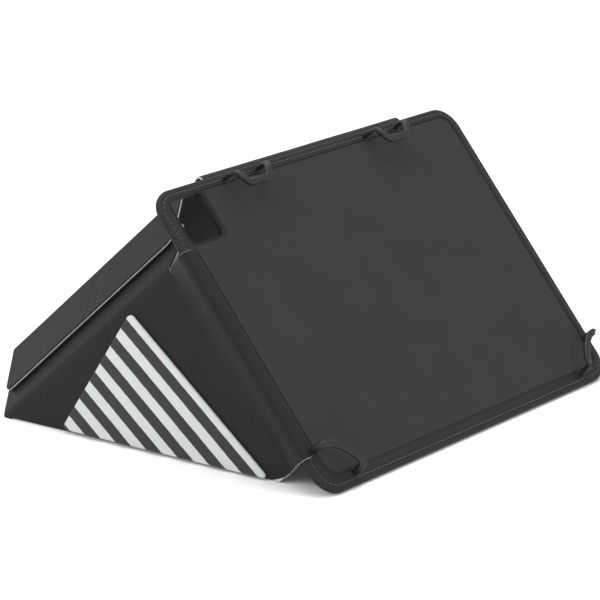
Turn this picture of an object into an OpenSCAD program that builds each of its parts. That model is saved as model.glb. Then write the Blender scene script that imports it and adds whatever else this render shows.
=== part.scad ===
// Origami stand case for a 9.7-inch class tablet, standing open on its folded side wall.
// The panel that carries the tablet leans back. A side wall folds back from its left edge, a triangle
// folds under that wall as a foot, and a rear cover comes over from the panel's top edge and is held
// to the side wall's tab by a magnetic flap. Four elastic corner hooks hold the tablet.

/* [Panel] */
// Width of the panel
panel_w = 255; // [250:1:280]
// Height of the panel along its slope
panel_h = 182.5; // [181:0.5:186]
// Radius of the panel's corners
panel_r = 14; // [12:1:24]
// Thickness of the panel from back face to front face
panel_t = 3; // [2.4:0.1:4]
// Angle of the panel above the table
lean = 49.1; // [40:0.1:60]

/* [Camera window] */
// Distance of the window from the panel's left edge
window_x = 10; // [9:1:14]
// Distance of the window from the panel's bottom edge
window_y = 150; // [146:1:152]
// Width of the window
window_w = 25; // [18:1:26]
// Height of the window
window_h = 26.5; // [18:0.5:27]
// Radius of the window's corners
window_r = 4; // [2:0.5:6]

/* [Tablet space] */
// Width of the tablet that the case holds
tablet_w = 240; // [236:1:244]
// Height of the tablet that the case holds
tablet_h = 169.5; // [166:0.5:172]
// Thickness of the tablet that the case holds
tablet_t = 7.5; // [6:0.1:9]
// Left margin of the panel beside the tablet
margin_x = 9; // [8:0.5:10]
// Bottom margin of the panel below the tablet
margin_y = 8; // [7:0.5:9]

/* [Side wall] */
// How far the spine stands behind the panel
neck_depth = 15.7; // [13:0.1:18]
// How far the spine stands in from the panel's left edge
spine_x = 5.1; // [3:0.1:7]
// Height of the spine strip's lower end above the panel's bottom edge
neck_bottom = 22; // [18:1:26]
// Angle that the side wall opens past square
splay = 8.4; // [0:0.1:10]
// Height of the wall's top crease at the spine
crease_y = 147.5; // [140:0.5:150]
// Angle that the top crease falls towards the rear
droop = 2.8; // [0:0.1:4]
// Thickness of a folded sheet with its board
sheet_t = 2.4; // [2:0.1:3]
// Thickness of a sheet's outer skin
skin_t = 0.8; // [0.6:0.1:1]
// Thickness of a sheet's inner lining
lining_t = 0.6; // [0.4:0.1:0.8]

/* [Tab and flap] */
// Angle that the tab leans in from the side wall
tab_tilt = 44; // [36:1:48]
// Width of the tab above the crease
tab_w = 30; // [24:1:31]
// Distance from the crease to the ridge, measured up the tab
ridge_w = 47; // [44:0.5:50]
// Distance from the crease to the flap's free edge
flap_edge = 17; // [14:0.5:20]
// How far the rear ends of the tab and flap are cut back from the wall's heel
rear_cut = 5; // [0:0.5:8]
// How far the tab's near end reaches past the spine, behind the panel
tab_lead = 9; // [6:0.5:9]
// How far the flap's near end reaches past the spine, behind the panel
flap_lead = 12; // [8:0.5:12]
// Angle that the flap's ridge falls to the rear, measured from the tab's crease
flap_turn = 1.3; // [0:0.1:1.5]
// Air between the tab and the flap that lies on it
flap_gap = 0.6; // [0.4:0.1:1]

/* [Cover] */
// Distance from the panel's left edge to the hinge roll
roll_x = 45; // [42:1:46]
// Length of the hinge roll
roll_w = 169.5; // [160:0.5:176]
// Outer radius of the hinge roll
roll_r = 3.6; // [3:0.1:4]

/* [Striped panel] */
// How far the striped panel stands proud of the side wall
patch_t = 2; // [1.5:0.1:2.5]
// Number of stripes
stripe_count = 7; // [5:1:9]
// Spacing of the stripes
stripe_pitch = 12.5; // [10:0.1:13]
// Width of a stripe
stripe_w = 6; // [5:0.1:8]

/* [Hooks] */
// Radius of an elastic hook's section
hook_r = 1.4; // [1:0.1:1.6]
// Radius of the posts that anchor the hooks
post_r = 1.5; // [1.2:0.1:2]

/* [Place] */
// Distance from the panel's left edge to the middle of the stand
centre_x = 119.46; // [100:0.01:140]
// Distance from the panel's bottom edge to the middle of the stand
centre_y = 114.14; // [100:0.01:140]

/* [Hidden] */
$fn = 48;
board_t = sheet_t - skin_t - lining_t;
sealed = 0.02;
fold_gap = 2.8;
tab_start = 0.6;
wall_start = 1.2;

// Directions of the folded sheets in the panel's own frame
rearward = [-sin(splay), 0, -cos(splay)];
upward = [0, 1, 0];
inward = [cos(splay), 0, -sin(splay)];
crease_dir = cos(droop) * rearward - sin(droop) * upward;
crease_up = sin(droop) * rearward + cos(droop) * upward;
tab_up = cos(tab_tilt) * crease_up + sin(tab_tilt) * inward;
tab_in = cos(tab_tilt) * inward - sin(tab_tilt) * crease_up;
spine_foot = [spine_x, 0, -neck_depth];

// Floor corners of the side wall, as distance from the spine and height up the panel
toe_x = (neck_bottom * tan(lean) - neck_depth) / cos(splay);
heel_x = (crease_y - neck_depth / tan(lean)) / (cos(splay) / tan(lean) + tan(droop));
heel_y = crease_y - heel_x * tan(droop);
crease_len = heel_x / cos(droop);

// Ridge between the flap and the cover, and the hinge roll that it sets
flap_out = flap_gap + sheet_t;
ridge_foot = spine_foot + crease_y * upward + ridge_w * tab_up - flap_out * tab_in;
ridge_dir = cos(flap_turn) * crease_dir - sin(flap_turn) * tab_up;
cover_droop = atan2(-ridge_dir.y, -ridge_dir.z);
ridge_cut = 9;
roll_z = roll_r + 0.2;
roll_top = ridge_foot.y - (ridge_foot.z + roll_z) * tan(cover_droop);
roll_y = roll_top - sheet_t / 2;
cover_start = roll_r + 0.6;
ridge_dist = -(ridge_foot.z + roll_z) / cos(cover_droop);
ridge_skew = -ridge_dir.x / norm([ridge_dir.y, ridge_dir.z]);
cover_len = ridge_dist + (crease_len - ridge_cut) * norm([ridge_dir.y, ridge_dir.z]);

// Foot triangle: the part of the wall's sheet below the floor line, turned in under the stand
leg_u = heel_x - toe_x;
leg_v = heel_y - neck_bottom;
floor_len = sqrt(leg_u * leg_u + leg_v * leg_v);
foot_apex = [leg_u * leg_u / floor_len, leg_u * leg_v / floor_len];
foot_t = 2;
foot_gap = 3.2;

// Corners of the striped panel on the side wall
patch = [[36, 141.8], [115.4, 114.6], [12.2, 25.2]];
patch_radii = [3, 2.4, 1.6];

// Feet of the hooks on the panel, as pairs
tablet_top = margin_y + tablet_h;
tablet_right = margin_x + tablet_w;
front_z = panel_t + tablet_t;
hook_z = front_z + hook_r + 0.6;
foot_z = 5.4;
top_hook_x = [56, 176];
top_hook_w = 27.8;
top_foot_y = tablet_top + 1.7;
top_bar_y = tablet_top - 7.2;
hook_feet = [
    for (x = top_hook_x, dx = [0, top_hook_w]) [x + dx, top_foot_y],
    for (side = [0, 1], foot = [[6.9, 24.5], [27.5, 6.3]]) [side == 0 ? foot.x : 2 * margin_x + tablet_w - foot.x, foot.y]
];

// ---- Frames: each puts its children on one of the folded sheets ----

module in_place() {
    translate([-centre_x, -centre_y, 0]) children();
}

// x along the panel, y up its slope, z out of its front; the back face is z = 0
module on_panel() {
    in_place() rotate([lean, 0, 0]) children();
}

// x from the spine to the rear, y up the spine, z into the stand; the outer face is z = 0
module on_wall() {
    on_panel() translate(spine_foot) rotate([0, 90 + splay, 0]) children();
}

// x along the crease to the rear, y up the tab, z into the stand
module on_tab() {
    on_wall() translate([0, crease_y, 0]) rotate([0, 0, -droop]) rotate([tab_tilt, 0, 0]) children();
}

// x along the ridge to the rear, y up the flap, z into the stand; the flap's outer face is z = 0
module on_ridge() {
    on_tab() translate([0, ridge_w, -flap_out]) rotate([0, 0, -flap_turn]) children();
}

// x along the hinge roll, y to the rear, z up; the middle of the sheet is z = 0
module on_cover() {
    on_panel() translate([0, roll_y, -roll_z]) rotate([-90 - cover_droop, 0, 0]) children();
}

// x along the floor line from toe to heel, -y into the stand, z up from the table
module on_foot() {
    toe = to_table(wall_point(toe_x, neck_bottom));
    heel = to_table(wall_point(heel_x, heel_y));
    in_place() translate([toe.x, toe.y, 0]) rotate([0, 0, atan2(heel.y - toe.y, heel.x - toe.x)]) children();
}

function wall_point(x, y) = spine_foot + x * rearward + y * upward;
function to_table(p) = [p.x, p.y * cos(lean) - p.z * sin(lean), p.y * sin(lean) + p.z * cos(lean)];

// ---- Shapes ----

function unit(v) = v / norm(v);

// Arc that rounds corner b between its neighbours a and c
function corner_arc(a, b, c, r, steps = 8) =
    let (
        to_a = unit(a - b),
        to_c = unit(c - b),
        half = acos(to_a * to_c) / 2,
        centre = b + unit(to_a + to_c) * r / sin(half),
        from = b + to_a * r / tan(half) - centre,
        to = b + to_c * r / tan(half) - centre,
        first = atan2(from.y, from.x),
        turn = atan2(from.x * to.y - from.y * to.x, from * to)
    )
    [for (k = [0:steps]) centre + r * [cos(first + turn * k / steps), sin(first + turn * k / steps)]];

function rounded(points, radii) =
    let (n = len(points))
    [for (i = [0:n - 1])
        each radii[i] > 0
            ? corner_arc(points[(i + n - 1) % n], points[i], points[(i + 1) % n], radii[i])
            : [points[i]]];

module sheet(points, radii, z, t) {
    translate([0, 0, z]) linear_extrude(t) polygon(rounded(points, radii));
}

// Rounded rectangle from corner p, with size s
module slab(p, s, r, z, t) {
    sheet([p, p + [s.x, 0], p + s, p + [0, s.y]], [r, r, r, r], z, t);
}

module panel_slab(inset, z, t) {
    slab([inset, inset], [panel_w - 2 * inset, panel_h - 2 * inset], panel_r - inset, z, t);
}

module window_slab(grow, z, t) {
    slab([window_x - grow, window_y - grow], [window_w + 2 * grow, window_h + 2 * grow], window_r + grow, z, t);
}

module post_holes(r) {
    for (p = hook_feet) translate([p.x, p.y, -1]) cylinder(r = r, h = panel_t + 3);
}

// Everything below the table top, which the standing sheets are trimmed to
module below_table() {
    translate([-300, -300, -60]) cube([600, 600, 60]);
}

// A row of straight rods through the given points, joined by round elbows
module bent_rod(points) {
    for (k = [0:len(points) - 2])
        hull() {
            translate(points[k]) sphere(r = hook_r, $fn = 14);
            translate(points[k + 1]) sphere(r = hook_r, $fn = 14);
        }
}

// ---- Panel ----

liner_t = 0.8;
eyelet_r = post_r + 1.2;
panel_skin_t = 0.8;

module panel_back_skin() {
    color("#2c2b2d") on_panel() difference() {
        panel_slab(0, 0, panel_skin_t);
        window_slab(liner_t, -1, panel_t + 2);
        post_holes(post_r + 0.1);
    }
}

module panel_core_board() {
    color("#8a7f70") on_panel() difference() {
        panel_slab(0, panel_skin_t + sealed, panel_t - 2 * panel_skin_t - 2 * sealed);
        window_slab(liner_t, -1, panel_t + 2);
        post_holes(post_r + 0.1);
    }
}

module panel_front_skin() {
    color("#3a393b") on_panel() difference() {
        panel_slab(0, panel_t - panel_skin_t, panel_skin_t);
        window_slab(liner_t, -1, panel_t + 2);
        post_holes(post_r + 0.1);
    }
}

hem_t = 0.4;

module panel_border_hem() {
    color("#403f41") on_panel() difference() {
        panel_slab(0.3, panel_t, hem_t);
        slab([margin_x - 1, margin_y - 1], [tablet_w + 1.2, tablet_h + 0.6], 7, panel_t - 1, 3);
        window_slab(liner_t, -1, panel_t + 2);
        for (p = hook_feet) translate([p.x, p.y, 0]) cylinder(r = eyelet_r + 0.1, h = panel_t + 3);
    }
}

stitch_inset = 3;
stitch_w = 0.7;

module panel_border_stitching() {
    color("#4c4b4d") on_panel() difference() {
        panel_slab(stitch_inset, panel_t + hem_t, 0.2);
        panel_slab(stitch_inset + stitch_w, panel_t - 1, 3);
        for (p = hook_feet) translate([p.x, p.y, 0]) cylinder(r = eyelet_r + 0.1, h = panel_t + 3);
    }
}

module tablet_rest_lining() {
    color("#48474a") on_panel() difference() {
        slab([margin_x + 1, margin_y + 1], [tablet_w - 2, tablet_h - 2], 9, panel_t, 0.3);
        window_slab(liner_t + 1, -1, panel_t + 2);
        for (p = hook_feet) translate([p.x, p.y, 0]) cylinder(r = eyelet_r + 0.1, h = panel_t + 3);
    }
}

module camera_window_liner() {
    color("#2a292b") on_panel() difference() {
        window_slab(liner_t - sealed, 0.05, panel_t - 0.1);
        window_slab(0, -1, panel_t + 2);
    }
}

bar_t = 1;

module hook_anchor_posts() {
    color("#2b2b2c") on_panel()
        for (p = hook_feet) translate([p.x, p.y, 0]) cylinder(r = post_r, h = panel_t + 0.4);
}

module hook_anchor_bars() {
    color("#2b2b2c") on_panel()
        for (k = [0:2:len(hook_feet) - 1]) {
            a = hook_feet[k];
            b = hook_feet[k + 1];
            along = unit(b - a);
            translate([a.x, a.y, 0]) rotate([0, 0, atan2(along.y, along.x)])
                slab([-2.4, -1.9], [norm(b - a) + 4.8, 3.4], 1.6, -bar_t, bar_t - sealed);
        }
}

module hook_eyelets() {
    color("#19191a") on_panel()
        for (p = hook_feet) translate([p.x, p.y, panel_t]) difference() {
            cylinder(r = eyelet_r, h = 0.5);
            translate([0, 0, -1]) cylinder(r = post_r + 0.1, h = 3);
        }
}

strip_t = 1.6;

module spine_strip() {
    color("#333233") on_panel() translate([0, neck_bottom + 97, 0]) rotate([90, 0, 0])
        translate([0, 0, neck_bottom + 97 - crease_y]) linear_extrude(crease_y - neck_bottom)
            polygon([
                [0.6, -sealed],
                [0.6 + strip_t, -sealed],
                [spine_x + 1, -neck_depth + 1.4],
                [spine_x - 0.6, -neck_depth + 1]
            ]);
}

module top_hinge_roll() {
    color("#2f2e30") on_panel() translate([roll_x, roll_y, -roll_z]) rotate([0, 90, 0]) difference() {
        cylinder(r = roll_r, h = roll_w);
        translate([0, 0, -1]) cylinder(r = roll_r - 1.4, h = roll_w + 2);
        translate([0.6, -2 * roll_r, -1]) cube([2 * roll_r, 2 * roll_r + 0.6, roll_w + 2]);
    }
}

// ---- Side wall ----

module wall_sheet(z, t) {
    difference() {
        on_wall() sheet(
            [
                [wall_start, neck_bottom],
                [toe_x, neck_bottom],
                [heel_x - fold_gap, heel_y - fold_gap],
                [wall_start, crease_y - fold_gap - wall_start * tan(droop)]
            ],
            [0, 0, 0, 0], z, t);
        in_place() below_table();
    }
}

module side_wall_skin() {
    color("#343234") wall_sheet(0, skin_t);
}

module side_wall_board() {
    color("#c9c6c0") wall_sheet(skin_t + sealed, board_t - 2 * sealed);
}

module side_wall_lining() {
    color("#2a292b") wall_sheet(sheet_t - lining_t, lining_t);
}

module patch_sheet(inset, z, t) {
    middle = (patch[0] + patch[1] + patch[2]) / 3;
    points = [for (p = patch) p + unit(middle - p) * inset * 2];
    on_wall() sheet(points, [for (r = patch_radii) r - inset * 0.8], z, t);
}

module striped_panel_board() {
    color("#8a7f70") patch_sheet(1, -patch_t + 0.6, patch_t - 0.6 - sealed);
}

module striped_panel_cloth() {
    color("#3c3a3c") difference() {
        patch_sheet(0, -patch_t, patch_t - sealed);
        patch_sheet(0.9, -patch_t + 0.6 - sealed, patch_t);
    }
}

first_stripe = 2;

module stripe_bands() {
    along = unit(patch[2] - patch[0]);
    color("#dfe2e2") intersection() {
        patch_sheet(0.3, -patch_t - 0.2, 0.2 - sealed / 2);
        on_wall() translate([patch[0].x, patch[0].y, -patch_t - 1]) rotate([0, 0, atan2(along.y, along.x)])
            for (k = [0:stripe_count - 1])
                translate([-20, k * stripe_pitch - first_stripe, 0]) cube([170, stripe_w, 3]);
    }
}

// ---- Tab above the crease ----

module tab_sheet(z, t) {
    difference() {
        on_tab() sheet(
            [
                [wall_start, tab_start],
                [crease_len, tab_start],
                [crease_len - rear_cut, tab_w],
                [-tab_lead, tab_w],
                [-tab_lead * 2 / 3, 9.5]
            ],
            [0, 0, 4, 4, 8], z, t);
        in_place() below_table();
    }
}

module magnet_bars(y, z, t, grow = 0) {
    for (x = [30, 95])
        translate([x - grow, y - grow, z]) cube([24 + 2 * grow, 6 + 2 * grow, t]);
}

magnet_y = 20;
magnet_t = 0.7;

module tab_skin() {
    color("#454445") tab_sheet(0, skin_t);
}

module tab_board() {
    color("#c9c6c0") difference() {
        tab_sheet(skin_t + sealed, board_t - 2 * sealed);
        on_tab() magnet_bars(magnet_y, 0, sheet_t, 0.1);
    }
}

module tab_lining() {
    color("#2a292b") tab_sheet(sheet_t - lining_t, lining_t);
}

module tab_magnets() {
    color("#9a9da0") on_tab() magnet_bars(magnet_y, skin_t + 0.1, magnet_t);
}

// ---- Foot triangle under the side wall ----

foot_skin_t = 0.6;
foot_board_t = 1;

module foot_sheet(z, t) {
    on_foot() sheet(
        [
            [8, -foot_gap],
            [floor_len - 8, -foot_gap],
            [foot_apex.x, -foot_apex.y]
        ],
        [0, 0, 4], z, t);
}

module foot_skin() {
    color("#343234") foot_sheet(0, foot_skin_t);
}

module foot_board() {
    color("#c9c6c0") foot_sheet(foot_skin_t + sealed, foot_board_t - 2 * sealed);
}

module foot_lining() {
    color("#2a292b") foot_sheet(foot_skin_t + foot_board_t, foot_t - foot_skin_t - foot_board_t);
}

// ---- Rear cover and its flap ----

function ridge_x(y) = ridge_foot.x - (y - ridge_dist) * ridge_skew;

module cover_sheet(z, t) {
    ridge_gap = 2.2;
    on_cover() sheet(
        [
            [ridge_x(cover_start) + ridge_gap, cover_start],
            [roll_x + roll_w, cover_start],
            [roll_x + roll_w, cover_len],
            [ridge_x(cover_len) + ridge_gap, cover_len]
        ],
        [0, 0, 10, 0], z, t);
}

module cover_skin() {
    color("#3a393b") cover_sheet(sheet_t / 2 - skin_t, skin_t);
}

module cover_board() {
    color("#c9c6c0") cover_sheet(-sheet_t / 2 + lining_t + sealed, board_t - 2 * sealed);
}

module cover_lining() {
    color("#2a292b") cover_sheet(-sheet_t / 2, lining_t);
}

flap_w = ridge_w - flap_edge;
flap_top = -0.6;

module flap_sheet(z, t) {
    on_ridge() sheet(
        [
            [-flap_lead / 3, -flap_w],
            [crease_len - ridge_cut + 5.5, -flap_w],
            [crease_len - ridge_cut, flap_top],
            [-flap_lead, flap_top]
        ],
        [9, 4, 0, 0], z, t);
}

module flap_skin() {
    color("#403f41") flap_sheet(0, skin_t);
}

module flap_board() {
    color("#c9c6c0") difference() {
        flap_sheet(skin_t + sealed, board_t - 2 * sealed);
        on_ridge() magnet_bars(flap_magnet_y, 0, sheet_t, 0.1);
    }
}

module flap_lining() {
    color("#2a292b") flap_sheet(sheet_t - lining_t, lining_t);
}

flap_magnet_y = -25;

module flap_magnets() {
    color("#9a9da0") on_ridge() magnet_bars(flap_magnet_y, skin_t + 0.1, magnet_t);
}

// ---- Elastic corner hooks ----

module top_hook(x) {
    mid = x + top_hook_w / 2;
    color("#39383a") on_panel() bent_rod([
        [mid - 13.9, top_foot_y, foot_z],
        [mid - 12.6, top_foot_y - 0.6, hook_z - 0.4],
        [mid - 7.6, top_bar_y, hook_z],
        [mid + 7.6, top_bar_y, hook_z],
        [mid + 12.6, top_foot_y - 0.6, hook_z - 0.4],
        [mid + 13.9, top_foot_y, foot_z]
    ]);
}

module corner_hook() {
    bent_rod([
        [6.9, 24.5, foot_z],
        [7.1, 24.3, hook_z - 0.4],
        [14.5, 22.8, hook_z],
        [21, 17.6, hook_z],
        [26.6, 10.2, hook_z],
        [27.4, 6.6, hook_z - 0.8],
        [27.5, 6.3, foot_z]
    ]);
}

module hook_top_left() {
    top_hook(top_hook_x[0]);
}

module hook_top_right() {
    top_hook(top_hook_x[1]);
}

module hook_bottom_left() {
    color("#39383a") on_panel() corner_hook();
}

module hook_bottom_right() {
    color("#39383a") on_panel() translate([2 * margin_x + tablet_w, 0, 0]) mirror([1, 0, 0]) corner_hook();
}

panel_back_skin();
panel_core_board();
panel_front_skin();
panel_border_hem();
panel_border_stitching();
tablet_rest_lining();
camera_window_liner();
hook_anchor_posts();
hook_anchor_bars();
hook_eyelets();
spine_strip();
top_hinge_roll();
side_wall_skin();
side_wall_board();
side_wall_lining();
striped_panel_board();
striped_panel_cloth();
stripe_bands();
tab_skin();
tab_board();
tab_lining();
tab_magnets();
foot_skin();
foot_board();
foot_lining();
cover_skin();
cover_board();
cover_lining();
flap_skin();
flap_board();
flap_lining();
flap_magnets();
hook_top_left();
hook_top_right();
hook_bottom_left();
hook_bottom_right();
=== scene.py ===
# Looks of the folding tablet case: leatherette sheets folded round their boards, stitched panel, elastic
# hooks and the striped cloth inset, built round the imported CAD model. Lengths are in millimetres until a
# mesh is finished, when it is scaled to metres.
import math

import bmesh
import bpy
from mathutils import Matrix, Vector, noise


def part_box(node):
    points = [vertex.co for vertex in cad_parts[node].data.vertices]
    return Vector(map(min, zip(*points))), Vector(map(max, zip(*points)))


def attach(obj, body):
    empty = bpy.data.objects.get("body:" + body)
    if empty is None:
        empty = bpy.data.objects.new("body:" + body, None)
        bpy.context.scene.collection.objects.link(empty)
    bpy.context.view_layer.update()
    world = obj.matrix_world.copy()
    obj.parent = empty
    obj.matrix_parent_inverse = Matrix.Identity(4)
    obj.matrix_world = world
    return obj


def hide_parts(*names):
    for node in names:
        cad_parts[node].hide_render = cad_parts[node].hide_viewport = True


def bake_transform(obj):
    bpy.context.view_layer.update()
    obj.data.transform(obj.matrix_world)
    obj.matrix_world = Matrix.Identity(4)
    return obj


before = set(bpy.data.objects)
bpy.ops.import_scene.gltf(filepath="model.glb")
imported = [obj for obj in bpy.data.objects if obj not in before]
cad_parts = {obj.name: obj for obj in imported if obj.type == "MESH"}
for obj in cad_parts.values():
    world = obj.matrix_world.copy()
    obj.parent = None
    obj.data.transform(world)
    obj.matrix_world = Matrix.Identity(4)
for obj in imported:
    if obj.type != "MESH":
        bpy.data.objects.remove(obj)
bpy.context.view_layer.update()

MM = 0.001

# ---- Driving dimensions, as in the CAD model ----
PANEL_W, PANEL_H, PANEL_R, PANEL_T = 255.0, 182.5, 14.0, 3.0
LEAN = math.radians(49.1)
WINDOW_X, WINDOW_Y, WINDOW_W, WINDOW_H, WINDOW_R = 10.0, 150.0, 25.0, 26.5, 4.0
TABLET_W, TABLET_H, TABLET_T = 240.0, 169.5, 7.5
MARGIN_X, MARGIN_Y = 9.0, 8.0
NECK_DEPTH, SPINE_X, NECK_BOTTOM = 15.7, 5.1, 22.0
SPLAY, DROOP, TAB_TILT = math.radians(8.4), math.radians(2.8), math.radians(44.0)
CREASE_Y, SHEET_T, FLAP_GAP = 147.5, 2.4, 0.6
TAB_W, RIDGE_W, FLAP_EDGE, REAR_CUT = 30.0, 47.0, 17.0, 5.0
TAB_LEAD, FLAP_LEAD, RIDGE_CUT, FLAP_TURN = 9.0, 12.0, 9.0, math.radians(1.3)
ROLL_X, ROLL_W, ROLL_R = 45.0, 169.5, 3.6
PATCH_T = 2.0
STRIPE_PITCH, STRIPE_W, FIRST_STRIPE = 12.5, 6.0, 2.0
SKIN_T, LINING_T = 0.8, 0.6

TABLET_TOP = MARGIN_Y + TABLET_H
FRONT_Z = PANEL_T + TABLET_T


# ---- Frames of the folded sheets ----
def move(x, y, z):
    return Matrix.Translation((x, y, z))


def turn(axis, angle):
    return Matrix.Rotation(angle, 4, axis)


# A fold's section lies in x and y, with the fold along z. These lay the fold along a frame's x or y.
FOLD_ALONG_X = Matrix(((0, 0, 1, 0), (1, 0, 0, 0), (0, 1, 0, 0), (0, 0, 0, 1)))
FOLD_ALONG_Y = Matrix(((1, 0, 0, 0), (0, 0, 1, 0), (0, 1, 0, 0), (0, 0, 0, 1)))

back_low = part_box("panel_back_skin")[0] / MM
PANEL = move(back_low.x, back_low.y + SKIN_T * math.sin(LEAN), 0) @ turn("X", LEAN)
WALL = PANEL @ move(SPINE_X, 0, -NECK_DEPTH) @ turn("Y", math.radians(90) + SPLAY)
CREASE = WALL @ move(0, CREASE_Y, 0) @ turn("Z", -DROOP)
TAB = CREASE @ turn("X", TAB_TILT)

TOE_X = (NECK_BOTTOM * math.tan(LEAN) - NECK_DEPTH) / math.cos(SPLAY)
HEEL_X = (CREASE_Y - NECK_DEPTH / math.tan(LEAN)) / (math.cos(SPLAY) / math.tan(LEAN) + math.tan(DROOP))
HEEL_Y = CREASE_Y - HEEL_X * math.tan(DROOP)
CREASE_LEN = HEEL_X / math.cos(DROOP)
FLAP_OUT = FLAP_GAP + SHEET_T

RIDGE = TAB @ move(0, RIDGE_W, -FLAP_OUT) @ turn("Z", -FLAP_TURN)
ridge_foot = PANEL.inverted() @ RIDGE.translation
ridge_along = (PANEL.inverted() @ RIDGE).to_3x3() @ Vector((1, 0, 0))
ridge_rise = math.hypot(ridge_along.y, ridge_along.z)
COVER_DROOP = math.atan2(-ridge_along.y, -ridge_along.z)
ROLL_Z = ROLL_R + 0.2
ROLL_Y = ridge_foot.y - (ridge_foot.z + ROLL_Z) * math.tan(COVER_DROOP) - SHEET_T / 2
COVER = PANEL @ move(0, ROLL_Y, -ROLL_Z) @ turn("X", -math.radians(90) - COVER_DROOP)
COVER_START = ROLL_R + 0.6
RIDGE_DIST = -(ridge_foot.z + ROLL_Z) / math.cos(COVER_DROOP)
RIDGE_SKEW = -ridge_along.x / ridge_rise
COVER_LEN = RIDGE_DIST + (CREASE_LEN - RIDGE_CUT) * ridge_rise

toe = WALL @ Vector((TOE_X, NECK_BOTTOM, 0))
heel = WALL @ Vector((HEEL_X, HEEL_Y, 0))
FLOOR_ANGLE = math.atan2(heel.y - toe.y, heel.x - toe.x)
FOOT = move(toe.x, toe.y, 0) @ turn("Z", FLOOR_ANGLE)
LEG_U, LEG_V = HEEL_X - TOE_X, HEEL_Y - NECK_BOTTOM
FLOOR_LEN = math.hypot(LEG_U, LEG_V)
FOOT_APEX = (LEG_U * LEG_U / FLOOR_LEN, -LEG_U * LEG_V / FLOOR_LEN)


# ---- Outlines ----
def rounded(points, radii, steps=6):
    """The outline through the points, with an arc of each radius at its corner."""
    out = []
    count = len(points)
    for i, (point, radius) in enumerate(zip(points, radii)):
        corner = Vector(point)
        if radius <= 0:
            out.append(corner)
            continue
        back = (Vector(points[i - 1]) - corner).normalized()
        ahead = (Vector(points[(i + 1) % count]) - corner).normalized()
        half = back.angle(ahead) / 2
        centre = corner + (back + ahead).normalized() * radius / math.sin(half)
        first = corner + back * radius / math.tan(half) - centre
        last = corner + ahead * radius / math.tan(half) - centre
        sweep = math.atan2(first.x * last.y - first.y * last.x, first.dot(last))
        for k in range(steps + 1):
            angle = sweep * k / steps
            out.append(centre + Matrix.Rotation(angle, 2) @ first)
    return out


# ---- Folds: a section of straight runs and bends, which a flat sheet is laid along ----
class Path:
    """An open line through the points, with an arc of each radius at its corners."""

    def __init__(self, points, radii, side=1):
        self.side, self.runs, self.bends, self.past = side, [], [], []
        corners = [Vector(p) for p in points]
        at, here = 0.0, corners[0]
        for i, radius in enumerate(radii, start=1):
            into = (corners[i] - corners[i - 1]).normalized()
            out = (corners[i + 1] - corners[i]).normalized()
            sweep = math.atan2(into.x * out.y - into.y * out.x, into.dot(out))
            tangent = radius * math.tan(abs(sweep) / 2)
            start = corners[i] - into * tangent
            self.runs.append((at, here, into, 0.0))
            at += (start - here).length
            self.runs.append((at, start, into, math.copysign(1 / radius, sweep)))
            self.bends.append((at, at + radius * abs(sweep)))
            at += radius * abs(sweep)
            here = corners[i] + out * tangent
            self.past.append(at - tangent)
        self.runs.append((at, here, (corners[-1] - corners[-2]).normalized(), 0.0))

    def at(self, s, depth):
        """The point at s along the outer face, and depth inside it."""
        start, point, ahead, curve = self.runs[0]
        for run in self.runs:
            if s >= run[0]:
                start, point, ahead, curve = run
        gone = s - start
        left = Vector((-ahead.y, ahead.x))
        if curve:
            angle = gone * curve
            place = point + ahead * math.sin(angle) / curve + left * (1 - math.cos(angle)) / curve
            left = Matrix.Rotation(angle, 2) @ left
        else:
            place = point + ahead * gone
        return place + left * self.side * depth


# ---- Meshes ----
TABLE_GAP = 0.02


def finish_mesh(name, bm, body, materials, smooth=35, flat=None):
    """Puts a mesh, made in millimetres in the frame of the whole object, into the scene."""
    if flat is None:
        flat = [v.co.copy() for v in bm.verts]
    for v in bm.verts:
        v.co.z = max(v.co.z, TABLE_GAP)
    bmesh.ops.recalc_face_normals(bm, faces=bm.faces[:])
    bmesh.ops.scale(bm, vec=(MM, MM, MM), verts=bm.verts)
    mesh = bpy.data.meshes.new(name)
    bm.to_mesh(mesh)
    bm.free()
    pattern = mesh.attributes.new("pattern", "FLOAT_VECTOR", "POINT")
    pattern.data.foreach_set("vector", [c for v in flat for c in v])
    mesh.shade_smooth()
    mesh.set_sharp_from_angle(angle=math.radians(smooth))
    piece = bpy.data.objects.new(name, mesh)
    bpy.context.scene.collection.objects.link(piece)
    for material in materials:
        mesh.materials.append(material)
    if body:
        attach(piece, body)
    return piece


def cut_grid(bm, axis, places):
    normal = Vector((0, 0, 0))
    normal[axis] = 1
    for place in places:
        everything = bm.verts[:] + bm.edges[:] + bm.faces[:]
        bmesh.ops.bisect_plane(bm, geom=everything, dist=1e-4, plane_co=normal * place, plane_no=normal)


def steps_between(low, high, spacing):
    parts = max(1, math.ceil((high - low) / spacing))
    return [low + (high - low) * k / parts for k in range(1, parts)]


RIM_MARGIN = 0.5


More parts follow.
